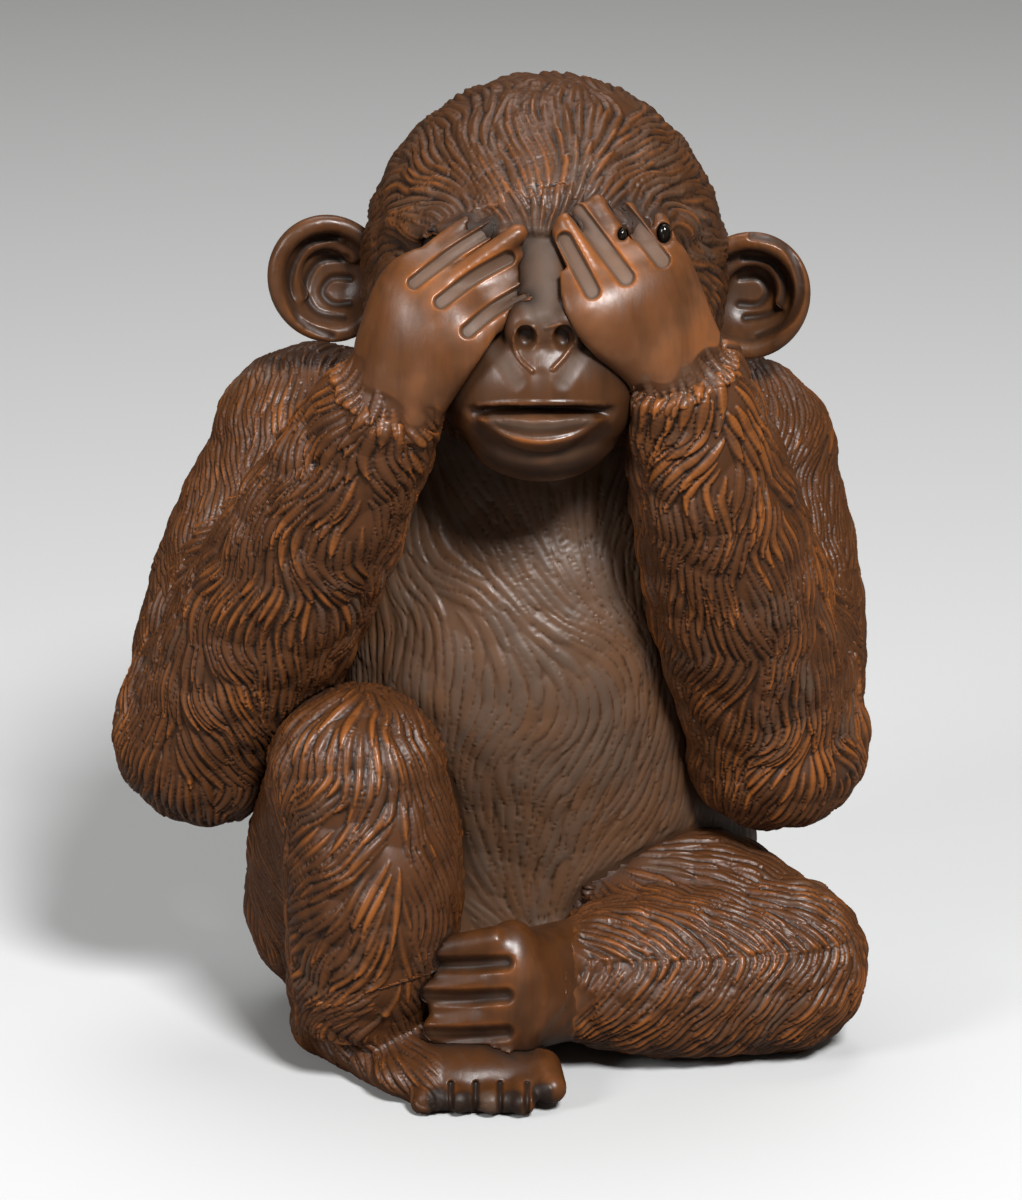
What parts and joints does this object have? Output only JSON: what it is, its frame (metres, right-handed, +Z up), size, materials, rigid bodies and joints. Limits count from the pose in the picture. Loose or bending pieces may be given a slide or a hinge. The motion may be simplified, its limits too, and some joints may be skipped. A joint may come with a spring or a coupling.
{
  "type": "monkey figurine",
  "caption": "Seated monkey ornament with both hands laid over its eyes, carved in boxwood with fur strands and bare face, hands and feet; stands free on its flat base.",
  "frame": {"origin": "middle of the whole figure's outline seen from above, on the table", "axes": "+Z up; the monkey faces -Y; its own left hand is at +X"},
  "size_m": [0.0576, 0.043, 0.0747],
  "materials": {
    "fur_wood": "stained boxwood, dark in the cuts and worn orange on the ridges, waxed",
    "bare_wood": "smooth stained boxwood, polished by handling",
    "eye_horn": null,
    "dowel_wood": "plain unstained hardwood"
  },
  "bodies": {
    "root": {"torso": "fur_wood", "head": "fur_wood", "face": "bare_wood", "right_ear": "bare_wood", "left_ear": "bare_wood", "right_eye": "eye_horn", "left_eye": "eye_horn", "right_arm": "fur_wood", "left_arm": "fur_wood", "right_hand": "bare_wood", "left_hand": "bare_wood", "right_leg": "fur_wood", "left_leg": "fur_wood", "right_foot": "bare_wood", "left_foot": "bare_wood", "neck_dowel": "dowel_wood", "shoulder_dowels": "dowel_wood", "hip_dowels": "dowel_wood", "wrist_dowels": "dowel_wood", "ankle_dowels": "dowel_wood"}
  },
  "joints": []
}
